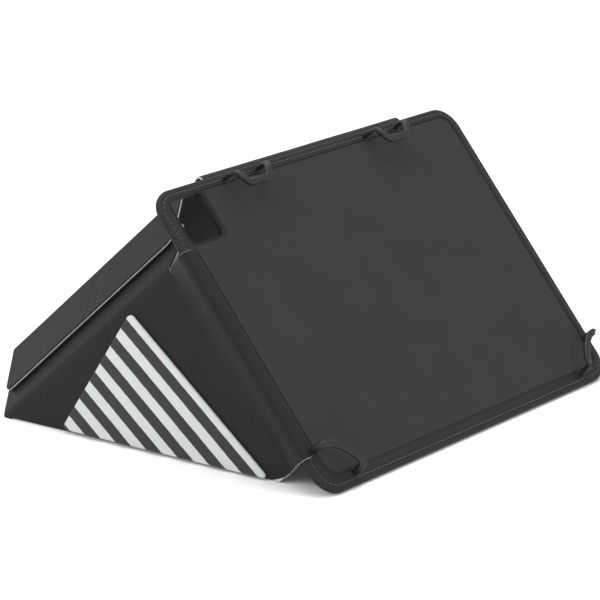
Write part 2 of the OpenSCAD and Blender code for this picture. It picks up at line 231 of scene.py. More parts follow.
def flat_sheet(outline, top, bottom, edge=0.3, holes=(), seam=None):
    """A closed flat sheet with rounded rims. seam tells which rim points stay square, to meet a neighbour."""
    bm = bmesh.new()
    for loop in (outline, *holes):
        verts = [bm.verts.new((p[0], p[1], top)) for p in loop]
        for a, b in zip(verts, verts[1:] + verts[:1]):
            bm.edges.new((a, b))
    if holes:
        bmesh.ops.triangle_fill(bm, use_beauty=True, edges=bm.edges[:])
    else:
        bm.faces.new(bm.verts[:])
    bmesh.ops.recalc_face_normals(bm, faces=bm.faces[:])
    copy = bmesh.ops.extrude_face_region(bm, geom=bm.faces[:], use_keep_orig=True)
    low = [g for g in copy["geom"] if isinstance(g, bmesh.types.BMVert)]
    bmesh.ops.translate(bm, vec=(0, 0, bottom - top), verts=low)
    bmesh.ops.recalc_face_normals(bm, faces=bm.faces[:])
    rims = []
    for e in bm.edges:
        level = abs(e.verts[0].co.z - e.verts[1].co.z) < 1e-4
        on_rim = level and any(abs(f.normal.z) < 0.5 for f in e.link_faces)
        if on_rim and not (seam and all(seam(v.co) for v in e.verts)):
            rims.append(e)
    if edge:
        bmesh.ops.bevel(
            bm, geom=rims, offset=edge, offset_type="OFFSET", segments=3, profile=0.5,
            affect="EDGES", clamp_overlap=True,
        )
    bm.normal_update()
    for sign in (1, -1):
        flats = [f for f in bm.faces if f.normal.z * sign > 0.999]
        bmesh.ops.inset_region(bm, faces=flats, thickness=RIM_MARGIN, use_even_offset=True, use_boundary=True)
    return bm


def mark_rims(bm):
    """Gives the faces round the cut edges the sheet's second material."""
    bm.normal_update()
    for face in bm.faces:
        face.material_index = 1 if abs(face.normal.z) < 0.8 else 0


WAVE_LENGTH = 38.0


def ripple(point, height):
    """Slow unevenness of a soft sheet, which runs on across seams."""
    return noise.noise(point / WAVE_LENGTH) * height


def declare(outline, area=None):
    """Works out a sheet's area from its flat outline in millimetres, unless an area is given; the result is
    not kept.
    """
    if area is None:
        pairs = zip(outline, list(outline[1:]) + [outline[0]])
        area = abs(sum(a[0] * b[1] - b[0] * a[1] for a, b in pairs)) / 2


def soft_sheet(name, outline, top, bottom, place, body, slot, materials, uneven=0.1, spacing=7.0, **more):
    """A flat sheet of leatherette, board or lining, slightly uneven."""
    bm = flat_sheet(outline, top, bottom, **more)
    mark_rims(bm)
    xs, ys = [p[0] for p in outline], [p[1] for p in outline]
    cut_grid(bm, 0, steps_between(min(xs), max(xs), spacing))
    cut_grid(bm, 1, steps_between(min(ys), max(ys), spacing))
    flat = [v.co.copy() for v in bm.verts]
    for v in bm.verts:
        v.co.z += ripple(place @ Vector((v.co.x, v.co.y, 0)), uneven)
        v.co = place @ v.co
    return finish_mesh(name, bm, body, materials, flat=flat)


def folded_sheet(
    name, outline, thick, path, section, materials, seam=None, edge=0.3, uneven=0.1, flat_at=None,
):
    """A sheet laid along a path. The section frame's x and y hold the path, and its z runs along the fold."""
    bm = flat_sheet(outline, 0, -thick, edge=edge, seam=seam)
    mark_rims(bm)
    ss, ts = [p[0] for p in outline], [p[1] for p in outline]
    cuts = steps_between(min(ss), max(ss), 7.0)
    for start, end in path.bends:
        cuts += [start, end] + steps_between(start, end, 0.4)
    cut_grid(bm, 0, sorted(cuts))
    cut_grid(bm, 1, steps_between(min(ts), max(ts), 7.0))
    flat = []
    for v in bm.verts:
        s, t, depth = v.co.x, v.co.y, -v.co.z
        flat.append((*(flat_at(s, t) if flat_at else (s, t)), depth))
        face = path.at(s, 0)
        lift = ripple(section @ Vector((face.x, face.y, t)), uneven)
        point = path.at(s, depth + lift)
        v.co = section @ Vector((point.x, point.y, t))
    return finish_mesh(name, bm, None, materials, flat=flat)


def swept_ring(name, profile, loop_at, body, materials, smooth=50):
    """A closed band round the panel or the window, through the profile's points (inset, height)."""
    bm = bmesh.new()
    rings = [[bm.verts.new((p.x, p.y, height)) for p in loop_at(inset)] for inset, height in profile]
    for low, high in zip(rings, rings[1:] + rings[:1]):
        count = len(low)
        for k in range(count):
            bm.faces.new((low[k], low[(k + 1) % count], high[(k + 1) % count], high[k]))
    flat = [v.co.copy() for v in bm.verts]
    for v in bm.verts:
        v.co = PANEL @ v.co
    return finish_mesh(name, bm, body, materials, smooth=smooth, flat=flat)


def blend_between(piece):
    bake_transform(piece)


# ---- Materials ----
class Nodes:
    """Short names for the node types that the materials use."""

    def __init__(self, name):
        self.material = bpy.data.materials.new(name)
        self.material.use_nodes = True
        self.tree = self.material.node_tree
        self.shader = self.tree.nodes["Principled BSDF"]

    def link(self, source, target):
        self.tree.links.new(source, target)

    def add(self, kind, **values):
        node = self.tree.nodes.new(kind)
        for key, value in values.items():
            if key in node.bl_rna.properties:
                setattr(node, key, value)
            else:
                node.inputs[key.replace("_", " ")].default_value = value
        return node

    def coordinates(self, on_pattern):
        """The flat pattern's millimetres on built pieces, or the object's own on CAD nodes."""
        if on_pattern:
            return self.add("ShaderNodeAttribute", attribute_name="pattern").outputs["Vector"]
        scaled = self.add("ShaderNodeVectorMath", operation="SCALE")
        scaled.inputs["Scale"].default_value = 1 / MM
        self.link(self.add("ShaderNodeTexCoord").outputs["Object"], scaled.inputs[0])
        return scaled.outputs["Vector"]

    def noise(self, at, scale, detail=3.0, rough=0.55):
        node = self.add("ShaderNodeTexNoise", Scale=scale, Detail=detail, Roughness=rough)
        self.link(at, node.inputs["Vector"])
        return node.outputs["Fac"]

    def cells(self, at, scale, feature="F1", spread=0.8):
        node = self.add("ShaderNodeTexVoronoi", feature=feature, Scale=scale, Randomness=spread)
        self.link(at, node.inputs["Vector"])
        return node.outputs["Distance"]

    def wave(self, at, scale, direction, distort=0.0):
        node = self.add("ShaderNodeTexWave", bands_direction=direction, Scale=scale, Distortion=distort)
        node.inputs["Detail Scale"].default_value = 0.4
        self.link(at, node.inputs["Vector"])
        return node.outputs["Fac"]

    def math(self, operation, a, b):
        node = self.add("ShaderNodeMath", operation=operation)
        for socket, value in zip(node.inputs, (a, b)):
            if isinstance(value, (int, float)):
                socket.default_value = value
            else:
                self.link(value, socket)
        return node.outputs[0]

    def mixed(self, first, first_share, second, second_share):
        """The weighted sum of two values."""
        weighted = self.math("MULTIPLY", first, first_share), self.math("MULTIPLY", second, second_share)
        return self.math("ADD", *weighted)

    def spread(self, value, low, high):
        node = self.add("ShaderNodeMapRange")
        node.inputs["To Min"].default_value = low
        node.inputs["To Max"].default_value = high
        self.link(value, node.inputs["Value"])
        return node.outputs["Result"]

    def between(self, factor, dark, light):
        node = self.add("ShaderNodeMix", data_type="RGBA")
        self.link(factor, node.inputs[0])
        for socket, value in ((node.inputs[6], dark), (node.inputs[7], light)):
            if isinstance(value, tuple):
                socket.default_value = (*value, 1)
            else:
                self.link(value, socket)
        return node.outputs[2]

    def bump(self, height, depth_mm, under=None):
        node = self.add("ShaderNodeBump", Distance=depth_mm * MM)
        self.link(height, node.inputs["Height"])
        if under:
            self.link(under, node.inputs["Normal"])
        return node.outputs["Normal"]

    def surface(self, colour, rough, normal, **constants):
        self.link(colour, self.shader.inputs["Base Color"])
        self.link(rough, self.shader.inputs["Roughness"])
        if normal:
            self.link(normal, self.shader.inputs["Normal"])
        for key, value in constants.items():
            self.shader.inputs[key.replace("_", " ")].default_value = value
        return self.material


def textured_leatherette(name, dark, light, on_pattern=True):
    """Embossed cross-hatched grain, coloured lighter on its raised points."""
    n = Nodes(name)
    at = n.coordinates(on_pattern)
    rows = n.wave(at, 0.31, "X", 1.6)
    columns = n.wave(at, 0.31, "Y", 1.6)
    hatch = n.math("MULTIPLY", rows, columns)
    grain = n.mixed(n.cells(at, 0.95), 0.7, hatch, 0.6)
    cloud = n.noise(at, 0.03, 4.0)
    colour = n.between(n.mixed(grain, 0.55, cloud, 0.4), dark, light)
    rough = n.spread(n.mixed(grain, 0.5, cloud, 0.5), 0.42, 0.66)
    normal = n.bump(grain, 0.16, n.bump(n.noise(at, 4.0), 0.03))
    return n.surface(colour, rough, normal, Specular_IOR_Level=0.14)


def smooth_leatherette(name, dark, light, on_pattern=True):
    """Fine calf-like grain with soft creasing."""
    n = Nodes(name)
    at = n.coordinates(on_pattern)
    pores = n.cells(at, 1.7)
    creases = n.noise(at, 0.16, 5.0, 0.6)
    cloud = n.noise(at, 0.02, 3.0)
    colour = n.between(n.mixed(cloud, 0.7, pores, 0.3), dark, light)
    rough = n.spread(n.mixed(creases, 0.6, cloud, 0.4), 0.36, 0.56)
    normal = n.bump(creases, 0.22, n.bump(pores, 0.045))
    return n.surface(colour, rough, normal, Specular_IOR_Level=0.14)


def microfibre(name, dark, light, on_pattern=True):
    """Short brushed nap with darker and lighter strokes."""
    n = Nodes(name)
    at = n.coordinates(on_pattern)
    nap = n.noise(at, 2.4, 6.0, 0.7)
    strokes = n.noise(at, 0.035, 4.0, 0.6)
    colour = n.between(n.mixed(strokes, 0.8, nap, 0.3), dark, light)
    rough = n.spread(nap, 0.82, 0.98)
    return n.surface(colour, rough, n.bump(nap, 0.14), Specular_IOR_Level=0.2, Sheen_Weight=0.06)


def raw_edge(name, dark, light, on_pattern=True):
    """Fibrous pale cut edge."""
    n = Nodes(name)
    at = n.coordinates(on_pattern)
    fibre = n.noise(at, 1.6, 6.0, 0.7)
    return n.surface(n.between(fibre, dark, light), n.spread(fibre, 0.6, 0.85), n.bump(fibre, 0.08))


def moulded_rubber(name, dark, light, on_pattern=True):
    n = Nodes(name)
    at = n.coordinates(on_pattern)
    cloud = n.noise(at, 0.25, 3.0)
    fine = n.noise(at, 5.0, 2.0)
    colour, rough = n.between(cloud, dark, light), n.spread(cloud, 0.3, 0.46)
    return n.surface(colour, rough, n.bump(fine, 0.02), Specular_IOR_Level=0.3)


def thread(name, dark, light, on_pattern=True):
    n = Nodes(name)
    at = n.coordinates(on_pattern)
    ply = n.wave(at, 0.8, "DIAGONAL", 0.4)
    colour, rough = n.between(ply, dark, light), n.spread(ply, 0.55, 0.8)
    return n.surface(colour, rough, n.bump(ply, 0.06), Sheen_Weight=0.2)


def pressed_board(name, dark, light, on_pattern=False):
    n = Nodes(name)
    at = n.coordinates(on_pattern)
    pulp = n.noise(at, 0.9, 6.0, 0.7)
    return n.surface(n.between(pulp, dark, light), n.spread(pulp, 0.8, 0.95), n.bump(pulp, 0.05))


def plated_steel(name, dark, light, on_pattern=False):
    n = Nodes(name)
    at = n.coordinates(on_pattern)
    brush = n.noise(at, 3.0, 2.0)
    colour, rough = n.between(brush, dark, light), n.spread(brush, 0.2, 0.4)
    return n.surface(colour, rough, n.bump(brush, 0.01), Metallic=1.0)


def woven_stripes(name, dark, light):
    """Plain weave with white stripes. The pattern's y is the distance from the cloth's long edge."""
    n = Nodes(name)
    at = n.coordinates(True)
    split = n.add("ShaderNodeSeparateXYZ")
    n.link(at, split.inputs[0])
    waver = n.math("MULTIPLY", n.math("SUBTRACT", n.noise(at, 0.7, 2.0), 0.5), 0.5)
    across = n.math("ADD", n.math("ADD", split.outputs["Y"], FIRST_STRIPE), waver)
    past_edge = n.math("MODULO", n.math("ADD", across, 4 * STRIPE_PITCH), STRIPE_PITCH)
    phase = n.math("DIVIDE", past_edge, STRIPE_PITCH)
    white = n.math("LESS_THAN", phase, STRIPE_W / STRIPE_PITCH)
    warp = n.wave(at, 0.62, "X", 0.3)
    weft = n.wave(at, 0.62, "Y", 0.3)
    weave = n.math("MULTIPLY", n.math("ADD", warp, weft), 0.5)
    fleck = n.noise(at, 1.3, 4.0, 0.7)
    shade = n.mixed(weave, 0.55, fleck, 0.45)
    ground = n.between(shade, dark[0], dark[1])
    band = n.between(shade, light[0], light[1])
    colour = n.between(white, ground, band)
    normal = n.bump(weave, 0.14, n.bump(fleck, 0.05))
    return n.surface(colour, n.spread(shade, 0.95, 0.75), normal, Sheen_Weight=0.15)


grain_black = textured_leatherette("grain_black", (0.008, 0.0076, 0.0082), (0.025, 0.0240, 0.0252))
calf_black = smooth_leatherette("calf_black", (0.0085, 0.0080, 0.0086), (0.0150, 0.0140, 0.0150))
calf_grey = smooth_leatherette("calf_grey", (0.0085, 0.0068, 0.0073), (0.0150, 0.0118, 0.0127))
lining_grey = microfibre("lining_grey", (0.012, 0.012, 0.013), (0.024, 0.024, 0.026))
pale_edge = raw_edge("pale_edge", (0.34, 0.33, 0.32), (0.56, 0.55, 0.53))
rubber_black = moulded_rubber("rubber_black", (0.009, 0.0086, 0.0092), (0.016, 0.0154, 0.0164))
thread_black = thread("thread_black", (0.016, 0.016, 0.017), (0.050, 0.049, 0.051))
stripes_woven = woven_stripes(
    "stripes_woven",
    ((0.008, 0.0074, 0.0077), (0.026, 0.0238, 0.0248)),
    ((0.40, 0.415, 0.415), (0.66, 0.685, 0.685)),
)

grey_board = pressed_board("grey_board", (0.20, 0.17, 0.13), (0.34, 0.30, 0.24))
CAD_LOOKS = {
    "core_board": grey_board,
    "striped_panel_board": grey_board,
    "board": raw_edge("edge_cad", (0.42, 0.41, 0.39), (0.66, 0.65, 0.62), on_pattern=False),
    "magnets": plated_steel("magnet_cad", (0.45, 0.46, 0.48), (0.62, 0.63, 0.65)),
    "lining": microfibre("lining_cad", (0.012, 0.012, 0.013), (0.024, 0.024, 0.026), on_pattern=False),
    "hook": moulded_rubber("plastic_cad", (0.009, 0.009, 0.010), (0.016, 0.016, 0.017), on_pattern=False),
    "skin": smooth_leatherette(
        "leather_cad", (0.010, 0.0095, 0.0105), (0.018, 0.017, 0.019), on_pattern=False
    ),
}
for node_name, node_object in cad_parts.items():
    kinds = [look for key, look in CAD_LOOKS.items() if key in node_name]
    look = kinds[0] if kinds else CAD_LOOKS["skin"]
    for material_slot in node_object.material_slots:
        material_slot.material = look


# ---- Camera, lights and floor ----
CAMERA_FROM_PANEL = Vector((-1106.99, -910.90, 559.14))
AZIMUTH, ELEVATION = math.radians(50.08), math.radians(17.51)
FOCAL_MM, SENSOR_MM = 180.65, 36.0


def make_stage():
    camera_data = bpy.data.cameras.new("camera")
    camera_data.lens, camera_data.sensor_width = FOCAL_MM, SENSOR_MM
    camera_data.clip_end = 20
    camera = bpy.data.objects.new("camera", camera_data)
    camera.location = (PANEL.translation + CAMERA_FROM_PANEL) * MM
    camera.rotation_euler = (math.radians(90) - ELEVATION, 0, -AZIMUTH)
    bpy.context.scene.collection.objects.link(camera)
    bpy.context.scene.camera = camera

    bm = bmesh.new()
    bmesh.ops.create_grid(bm, x_segments=8, y_segments=8, size=12)
    floor_mesh = bpy.data.meshes.new("floor")
    bm.to_mesh(floor_mesh)
    bm.free()
    floor = bpy.data.objects.new("floor", floor_mesh)
    floor.location.z = -0.0002
    bpy.context.scene.collection.objects.link(floor)
    paper = Nodes("paper")
    paper.shader.inputs["Base Color"].default_value = (0.93, 0.93, 0.93, 1)
    paper.shader.inputs["Roughness"].default_value = 0.9
    paper.shader.inputs["Specular IOR Level"].default_value = 0.1
    floor_mesh.materials.append(paper.material)

    world = bpy.data.worlds.new("studio")
    world.use_nodes = True
    world.node_tree.nodes["Background"].inputs["Color"].default_value = (1, 1, 1, 1)
    world.node_tree.nodes["Background"].inputs["Strength"].default_value = 0.85
    bpy.context.scene.world = world
    bpy.context.scene.view_settings.view_transform = "Standard"

    def area(name, at, size, power):
        light_data = bpy.data.lights.new(name, "AREA")
        light_data.size, light_data.energy = size, power
        light = bpy.data.objects.new(name, light_data)
        light.location = at
        light.rotation_euler = (Vector((0, 0, 0.07)) - Vector(at)).to_track_quat("-Z", "Y").to_euler()
        bpy.context.scene.collection.objects.link(light)

    area("top", (0.3, 0.2, 1.8), 1.6, 26)
    area("left", (-1.5, 0.5, 1.1), 1.0, 12)
    area("front", (0.2, -1.8, 0.9), 1.2, 9)


make_stage()


# ---- Side wall, with the neck and the panel's left margin: one skin ----
EDGE_OUT = 1.25
LINING_PROUD, LINING_CLEAR = 0.06, 0.04
LINING_FACES = (SHEET_T + LINING_PROUD, SHEET_T - LINING_T + LINING_CLEAR)
MARGIN_STRIP = 8.2
FRONT_FACE = PANEL_T + 0.4 + SKIN_T
SEAM = 4.0
SPINE_START = 0.8

wall_path = Path(
    [
        (MARGIN_STRIP - EDGE_OUT, FRONT_FACE),
        (-EDGE_OUT, FRONT_FACE),
        (-EDGE_OUT, -1.0),
        (SPINE_X, -NECK_DEPTH),
        (SPINE_X - 200 * math.sin(SPLAY), -NECK_DEPTH - 200 * math.cos(SPLAY)),
    ],
    [2.2, 3.0, 3.0],
)
WALL_S = wall_path.past[2]
WALL_SECTION = PANEL @ FOLD_ALONG_Y

floor_dir = Vector((LEG_U, LEG_V)) / FLOOR_LEN
floor_up = Vector((-LEG_V, LEG_U)) / FLOOR_LEN
crease_dir = Vector((math.cos(DROOP), -math.sin(DROOP)))
crease_down = Vector((-math.sin(DROOP), -math.cos(DROOP)))
toe_flat = Vector((TOE_X, NECK_BOTTOM))
crease_flat = Vector((0, CREASE_Y))


def meet(a, a_dir, b, b_dir):
    """Where two lines in a plane cross."""
    across = a_dir.x * b_dir.y - a_dir.y * b_dir.x
    gap = b - a
    return a + a_dir * ((gap.x * b_dir.y - gap.y * b_dir.x) / across)


level = Vector((1, 0))
floor_seam, crease_seam = toe_flat + floor_up * SEAM, crease_flat + crease_down * SEAM
seam_toe = meet(floor_seam, floor_dir, toe_flat, level)
seam_heel = meet(floor_seam, floor_dir, crease_seam, crease_dir)
seam_top = meet(crease_seam, crease_dir, Vector((SPINE_START, 0)), Vector((0, 1)))
seam_floor = meet(crease_seam, crease_dir, toe_flat, floor_dir)


def near_line(point, start, direction, offset=0.0):
    gap = Vector((point[0] - offset, point[1])) - start
    return abs(gap.x * direction.y - gap.y * direction.x) < 0.02


def wall_seam(point):
    on_floor = near_line(point, floor_seam, floor_dir, WALL_S)
    return on_floor or near_line(point, crease_seam, crease_dir, WALL_S)


def make_wall():
    outline = rounded(
        [
            (0, NECK_BOTTOM),
            (WALL_S + seam_toe.x, NECK_BOTTOM),
            (WALL_S + seam_heel.x, seam_heel.y),
            (WALL_S + seam_top.x, seam_top.y),
            (WALL_S + seam_top.x, CREASE_Y),
            (0, CREASE_Y),
        ],
        [3, 0, 0, 0, 0, 3],
    )
    piece = folded_sheet(
        "wall_leather", outline, SKIN_T, wall_path, WALL_SECTION,
        [calf_black, pale_edge], seam=wall_seam, flat_at=lambda s, t: (s - WALL_S, t),
    )
    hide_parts("spine_strip", "side_wall_skin")
    blend_between(piece)
    declare(outline)

    inner = [
        (1.4, NECK_BOTTOM + 0.2),
        (TOE_X, NECK_BOTTOM + 0.2),
        (HEEL_X - 3.1, HEEL_Y - 3.0),
        (1.4, CREASE_Y - 3.0),
    ]
    lining = soft_sheet(
        "wall_lining", rounded(inner, [0, 0, 0, 2]), *LINING_FACES, WALL, "side_wall", "microfibre",
        [lining_grey, lining_grey], uneven=0.05, edge=0.15,
    )
    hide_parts("side_wall_lining")
    declare(inner)


# ---- Tab above the crease ----
def wall_pattern(start, along, across):
    """Unfolds a neighbour's flat coordinates into the wall's, so that the grain runs on over the fold."""

    def flat(s, t):
        point = start + along * t + across * s
        return point.x, point.y

    return flat


def make_tab():
    tab_path = Path([(-SEAM, 0), (0, 0), (100 * math.cos(TAB_TILT), 100 * math.sin(TAB_TILT))], [8.0])
    past = tab_path.past[0]
    tilt_section = CREASE @ FOLD_ALONG_X
    left_foot = (seam_top - crease_flat).dot(crease_dir)
    right_foot = (seam_floor - crease_flat).dot(crease_dir)
    outline = rounded(
        [
            (0, left_foot),
            (0, right_foot),
            (past, CREASE_LEN),
            (past + TAB_W, CREASE_LEN - REAR_CUT),
            (past + TAB_W, -TAB_LEAD),
            (past + 9.5, -TAB_LEAD * 2 / 3),
            (past, left_foot),
        ],
        [0, 0, 0, 4, 4, 8, 0],
    )
    piece = folded_sheet(
        "tab_leather", outline, SKIN_T, tab_path, tilt_section,
        [calf_black, calf_black], seam=lambda p: abs(p[0]) < 0.02, uneven=0.03,
        flat_at=wall_pattern(crease_seam, crease_dir, -crease_down),
    )
    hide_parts("tab_skin")
    blend_between(piece)
    declare(outline)

    inner = rounded(
        [
            (1.4, 0.8),
            (CREASE_LEN - 0.3, 0.8),
            (CREASE_LEN - REAR_CUT - 0.2, TAB_W - 0.15),
            (0.2 - TAB_LEAD, TAB_W - 0.15),
            (0.2 - TAB_LEAD * 2 / 3, 9.5),
        ],
        [0, 0, 4, 4, 8],
    )
    lining = soft_sheet(
        "tab_lining_cloth", inner, *LINING_FACES, TAB, "tab", "microfibre", [lining_grey, lining_grey],
        uneven=0.05, edge=0.15,
    )
    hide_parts("tab_lining")
    declare(inner)


# ---- Foot folded in under the stand ----
FOOT_T = 2.0
FOOT_SKIN = 0.6


def make_foot():
    up_wall = (FOOT.inverted() @ WALL).to_3x3() @ Vector((floor_up.x, floor_up.y, 0))
    foot_path = Path([(up_wall.y * SEAM, up_wall.z * SEAM), (0, 0), (-200, 0)], [1.6], side=-1)
    past = foot_path.past[0]
    foot_section = FOOT @ FOLD_ALONG_X
    apex = Vector(FOOT_APEX)
    outline = rounded(
        [
            (0, (seam_toe - toe_flat).dot(floor_dir)),
            (past, 3.0),
            (past - apex.y, apex.x),
            (past, FLOOR_LEN - 6.0),
            (past, (seam_floor - toe_flat).dot(floor_dir)),
            (0, (seam_heel - toe_flat).dot(floor_dir)),
        ],
        [0, 0, 4, 0, 0, 0],
    )
    piece = folded_sheet(
        "foot_leather", outline, FOOT_SKIN, foot_path, foot_section,
        [calf_black, calf_black], seam=lambda p: abs(p[0]) < 0.02, uneven=0.0,
        flat_at=wall_pattern(floor_seam, floor_dir, -floor_up),
    )
    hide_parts("foot_skin")
    blend_between(
        piece,
    )
    declare(outline)

    inner = rounded([(8.4, -3.4), (FLOOR_LEN - 8.4, -3.4), (apex.x, apex.y + 0.3)], [0, 0, 4])
    lining = soft_sheet(
        "foot_lining_cloth", inner, FOOT_T + 0.03, FOOT_T - 0.38, FOOT, "foot", "microfibre",
        [lining_grey, lining_grey], uneven=0.02, edge=0.1,
    )
    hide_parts("foot_lining")
    declare(inner)


# ---- Rear cover and the flap that folds down from it ----
FLAP_SPREAD = 5.5


def ridge_x(y):
    return ridge_foot.x - (y - RIDGE_DIST) * RIDGE_SKEW


def make_cover():
    ridge_section = RIDGE @ FOLD_ALONG_X
    cover_up = COVER.to_3x3() @ Vector((0, 0, 1))
    ridge_dir = RIDGE.to_3x3() @ Vector((1, 0, 0))
    over = cover_up.cross(ridge_dir).normalized()
    if over.dot(PANEL.to_3x3() @ Vector((1, 0, 0))) < 0:
        over = -over
    over_flat = RIDGE.to_3x3().transposed() @ over
    flap_w, flap_rear = RIDGE_W - FLAP_EDGE, CREASE_LEN - RIDGE_CUT
    cover_path = Path([(-flap_w, 0), (0, 0), (over_flat.y * 300, over_flat.z * 300)], [2.4])
    past = cover_path.past[0]
    origin = RIDGE.translation

    def on_sheet(x, y):
        gap = COVER @ Vector((x, y, SHEET_T / 2)) - origin
        return past + gap.dot(over), gap.dot(ridge_dir)

    right = ROLL_X + ROLL_W
    outline = rounded(
        [
            (0, -FLAP_LEAD / 3),
            (0, flap_rear + FLAP_SPREAD),
            (past, flap_rear),
            on_sheet(right, COVER_LEN),
            on_sheet(right, COVER_START),
            on_sheet(ridge_x(COVER_START) + 3, COVER_START),
            (past, -FLAP_LEAD),
        ],
        [9, 4, 0, 10, 2, 2, 0],
    )
    piece = folded_sheet(
        "cover_leather", outline, SKIN_T, cover_path, ridge_section,
        [calf_grey, calf_grey],
    )
    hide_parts("cover_skin", "flap_skin")
    blend_between(piece)
    declare(outline)

    inner = rounded(
        [
            (ridge_x(COVER_START) + 2.5, COVER_START + 0.2),
            (right - 0.2, COVER_START + 0.2),
            (right - 0.2, COVER_LEN - 0.2),
            (ridge_x(COVER_LEN) + 2.5, COVER_LEN - 0.2),
        ],
        [1, 2, 10, 0],
    )
    under = -SHEET_T / 2
    lining = soft_sheet(
        "cover_lining_cloth", inner, under + LINING_T - LINING_CLEAR, under - LINING_PROUD, COVER,
        "cover", "microfibre", [lining_grey, lining_grey], uneven=0.05, edge=0.15,
    )
    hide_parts("cover_lining")
    declare(inner)

    # The flap's lining turns up over its board's edge, which leaves only a thin line of board in sight
    turn_up, line_w = 0.08, 0.5
    inner = rounded(
        [
            (-turn_up - FLAP_LEAD / 3, -turn_up - flap_w),
            (flap_rear + FLAP_SPREAD + turn_up, -turn_up - flap_w),
            (flap_rear + turn_up, -1.0),
            (-turn_up - FLAP_LEAD, -1.0),
        ],
        [9, 4, 0, 0],
    )
    lining = soft_sheet(
        "flap_lining_sheet", inner, SHEET_T, SKIN_T + line_w, RIDGE, "flap", "microfibre",
        [lining_grey, lining_grey], uneven=0.02, edge=0.15,
    )
    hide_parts("flap_lining")
    declare(inner)


# ---- Hinge roll along the panel's top edge ----
def make_roll():
    skin = 1.2
    outer = ROLL_R
    start = (ROLL_Y - 15, -ROLL_Z + outer)
    corners = [
        start,
        (ROLL_Y + outer, -ROLL_Z + outer),
        (ROLL_Y + outer, -ROLL_Z - outer),
        (ROLL_Y - outer, -ROLL_Z - outer),
        (ROLL_Y - outer, -ROLL_Z + 0.6),
    ]
    # Along the panel's back, over the top, down the rear and back in underneath
    roll_path = Path(corners, [outer - 0.05] * 3, side=-1)
    length = roll_path.runs[-1][0] + 1.2
    outline = rounded(
        [(0, ROLL_X), (length, ROLL_X), (length, ROLL_X + ROLL_W), (0, ROLL_X + ROLL_W)],
        [0, 0, 0, 0],
    )
    roll_section = PANEL @ FOLD_ALONG_X
    piece = folded_sheet(
        "hinge_roll_leather", outline, skin, roll_path, roll_section,
        [grain_black, pale_edge], uneven=0.15,
    )
    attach(piece, "panel")
    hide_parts("top_hinge_roll")
    declare(outline)


# ---- Panel ----
def rect_loop(x, y, w, h, radius, inset, parts):
    """Points round a rounded rectangle at a distance in from its edge, as many for every distance."""
    r = radius - inset
    corners = [(x + w - radius, y + h - radius), (x + radius, y + h - radius)]
    corners += [(x + radius, y + radius), (x + w - radius, y + radius)]
    out = []
    for i, (cx, cy) in enumerate(corners):
        angles = [math.radians(90 * i + 90 * k / 10) for k in range(11)]
        out += [Vector((cx + r * math.cos(a), cy + r * math.sin(a))) for a in angles]
        nx, ny = corners[(i + 1) % 4]
        arc_end = Vector((r * math.cos(angles[-1]), r * math.sin(angles[-1])))
        last, following = Vector((cx, cy)) + arc_end, Vector((nx, ny)) + arc_end
        out += [last.lerp(following, k / parts) for k in range(1, parts)]
    return out


def panel_loop(inset):
    return rect_loop(0, 0, PANEL_W, PANEL_H, PANEL_R, inset, 36)


HEM_W = 6.5
HEM_EVEN = 3.6


def hem_loop(inset):
    """Follows the panel's edge as far as the stitching, then runs out to the hem's own inner edge."""
    if inset <= HEM_EVEN:
        return panel_loop(inset)
    share = (inset - HEM_EVEN) / (HEM_W - HEM_EVEN)
    opening = rect_loop(MARGIN_X - 1, MARGIN_Y - 1, TABLET_W + 1.2, TABLET_H + 0.6, 7, 0, 36)
    return [even.lerp(inner, share) for even, inner in zip(panel_loop(HEM_EVEN), opening)]


def window_loop(grow):
    return rect_loop(WINDOW_X, WINDOW_Y, WINDOW_W, WINDOW_H, WINDOW_R, -grow, 4)


def outline_of(x, y, w, h, r):
    return rounded([(x, y), (x + w, y), (x + w, y + h), (x, y + h)], [r] * 4, steps=10)


LINER_T = 0.8
STITCH_INSET = 3.0
HEM_T = 0.4


